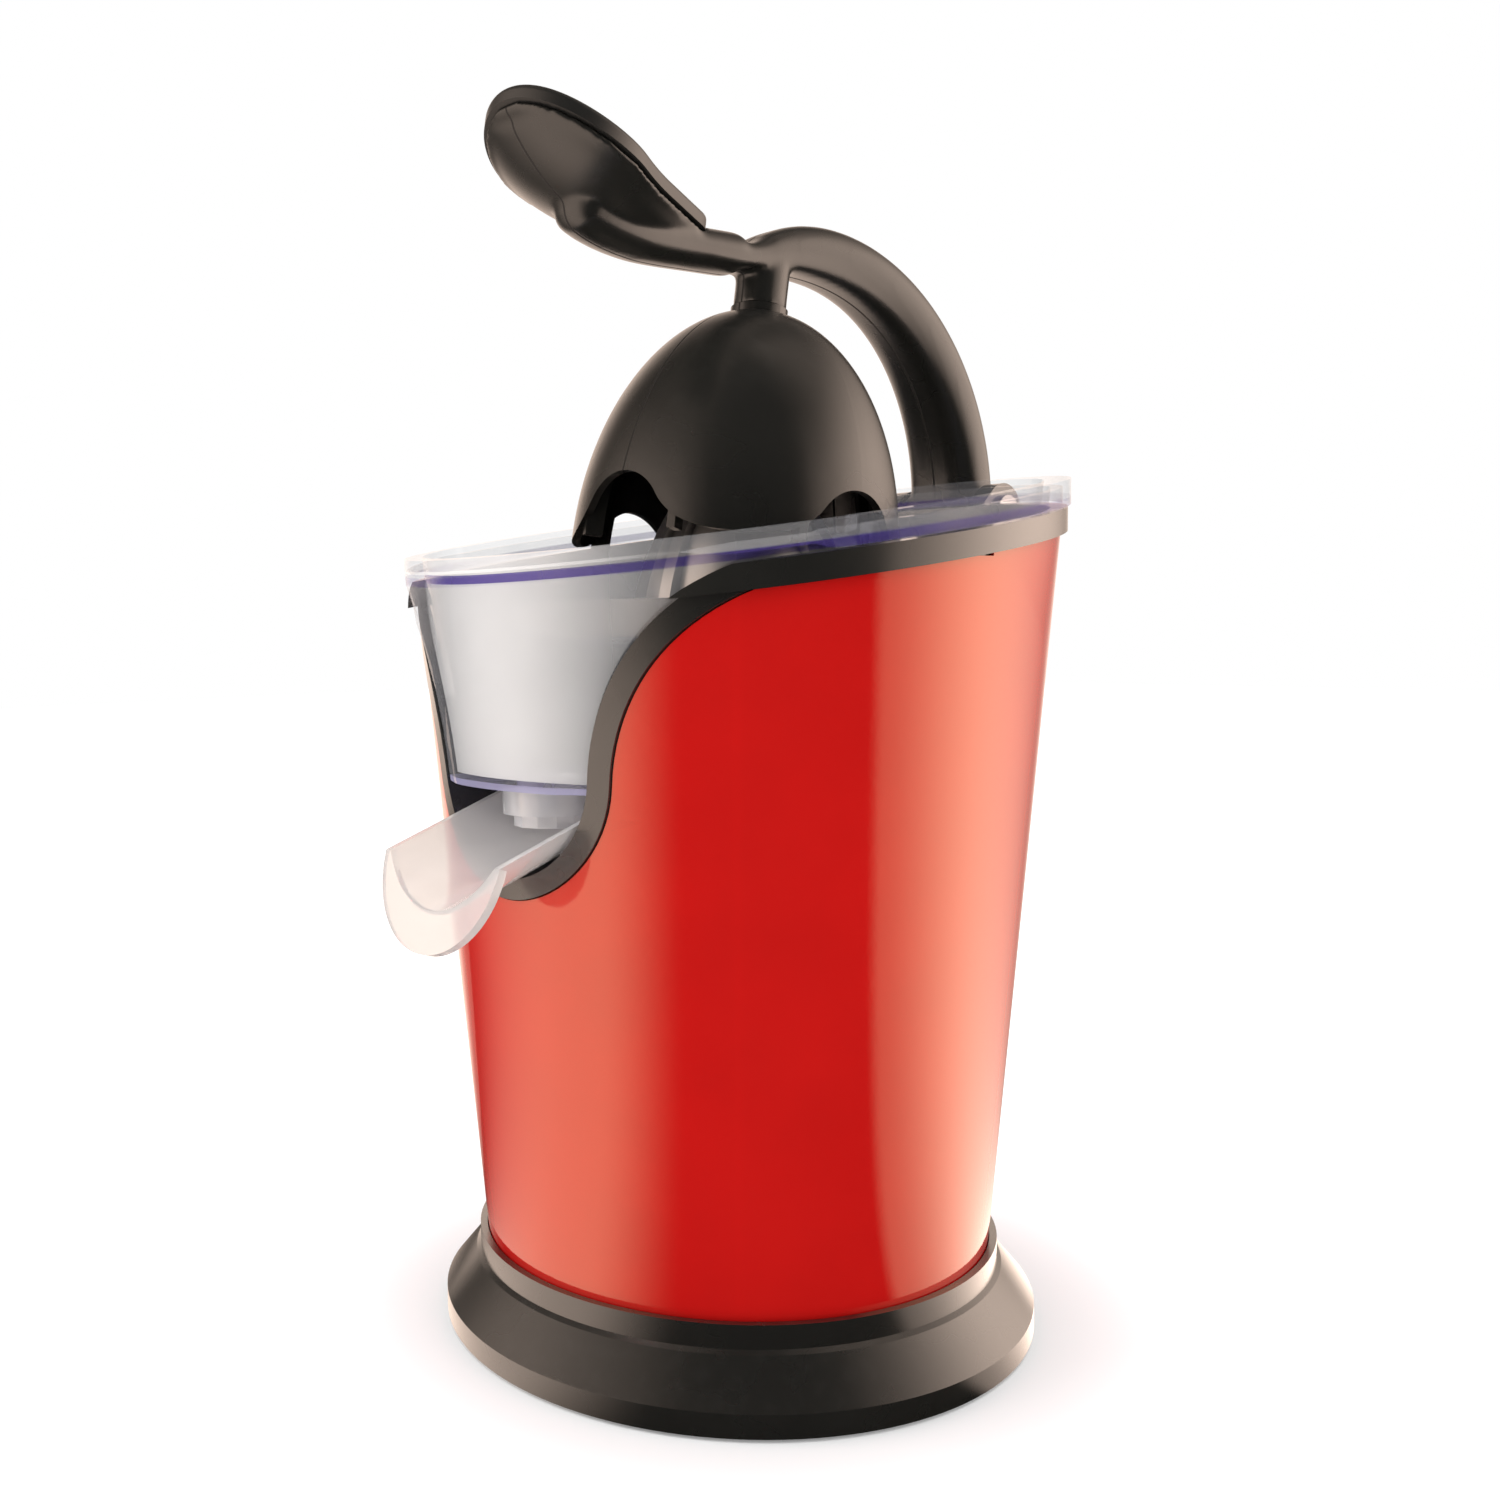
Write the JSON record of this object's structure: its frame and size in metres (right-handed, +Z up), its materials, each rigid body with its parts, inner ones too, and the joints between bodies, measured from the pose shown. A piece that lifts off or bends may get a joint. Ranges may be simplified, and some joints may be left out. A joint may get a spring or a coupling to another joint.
{
  "type": "electric citrus juicer",
  "caption": "Electric citrus juicer: tapered shell on a flared base, clear collector with tilting spout, ribbed reamer and a press dome on an arched lever.",
  "frame": {"origin": "on the axis of the body, on the surface that the feet stand on", "axes": "+Z up, the spout points to -Y, the lever hinge is at +Y and X runs across, with the two sides alike"},
  "size_m": [0.192, 0.2315, 0.3451],
  "materials": {
    "shell_red": "gloss red enamel",
    "black_plastic": "satin black moulding",
    "palm_black": "satin black pad",
    "clear_plastic": "clear moulded plastic",
    "steel": "fine brushed",
    "bright_steel": "turned",
    "rubber": "matt",
    "gear_white": "moulded gear plastic",
    "chassis_grey": "moulded",
    "laminations": "stacked sheet",
    "windings": "varnished copper",
    "bronze": "sintered"
  },
  "bodies": {
    "base": {"base_ring": "black_plastic", "bottom_cover": "black_plastic", "rubber_feet": "rubber", "bottom_screws": "bright_steel", "tie_rods": "bright_steel", "cord_bush": "rubber", "outer_shell": "shell_red", "upper_housing": "black_plastic", "hinge_pin": "bright_steel", "hinge_washers": "black_plastic", "collector": "clear_plastic", "outlet_nozzle": "clear_plastic", "strainer": "steel", "spindle_bush": "bronze", "spindle_seal": "rubber", "idler_axle": "bright_steel", "gear_plate": "chassis_grey", "motor_mount": "chassis_grey", "chassis_screws": "bright_steel", "motor_stator": "laminations", "field_coils": "windings", "motor_bracket": "chassis_grey", "motor_bearings": "bronze", "motor_bolts": "bright_steel", "start_switch": "black_plastic"},
    "lever": {"lever_arm": "black_plastic", "palm_pad": "palm_black", "press_dome": "black_plastic", "dome_screw": "bright_steel"},
    "spout": {"spout": "clear_plastic"},
    "rotor": {"rotor": "bright_steel", "motor_pinion": "gear_white", "cooling_fan": "gear_white"},
    "idler": {"idler_gear": "gear_white"},
    "output": {"output_gear": "gear_white", "press_spring": "bright_steel"},
    "spindle": {"drive_spindle": "bright_steel", "reamer": "steel"},
    "plunger": {"switch_plunger": "black_plastic"}
  },
  "joints": [
    {"name": "lever_hinge", "type": "hinge", "parent": "base", "child": "lever", "pos_m": [0, 0.1075, 0.241], "axis": [-1, 0, 0], "range_deg": [-9.5, 70]},
    {"name": "spout_tilt", "type": "hinge", "parent": "base", "child": "spout", "pos_m": [0, -0.06527, 0.15646], "axis": [-1, 0, 0], "range_deg": [0, 18]},
    {"name": "rotor_spin", "type": "hinge", "parent": "base", "child": "rotor", "pos_m": [0, 0.013, 0.11], "axis": [0, 0, 1], "continuous": true},
    {"name": "idler_spin", "type": "hinge", "parent": "base", "child": "idler", "pos_m": [0, 0.043, 0.16], "axis": [0, 0, 1], "continuous": true},
    {"name": "output_spin", "type": "hinge", "parent": "base", "child": "output", "pos_m": [0, 0.0055, 0.168], "axis": [0, 0, 1], "continuous": true},
    {"name": "press_slide", "type": "slide", "parent": "output", "child": "spindle", "axis": [0, 0, 1], "range_m": [-0.0025, 0], "stiffness_N_per_m": 900, "springref_m": 0.005, "deforming": ["press_spring"]},
    {"name": "plunger_slide", "type": "slide", "parent": "base", "child": "plunger", "axis": [0, 0, 1], "range_m": [-0.0025, 0]}
  ],
  "couplings": [
    {"joint": "idler_spin", "follows": "rotor_spin", "ratio": -0.25},
    {"joint": "output_spin", "follows": "rotor_spin", "ratio": 0.0625},
    {"joint": "plunger_slide", "follows": "press_slide", "ratio": 1}
  ]
}
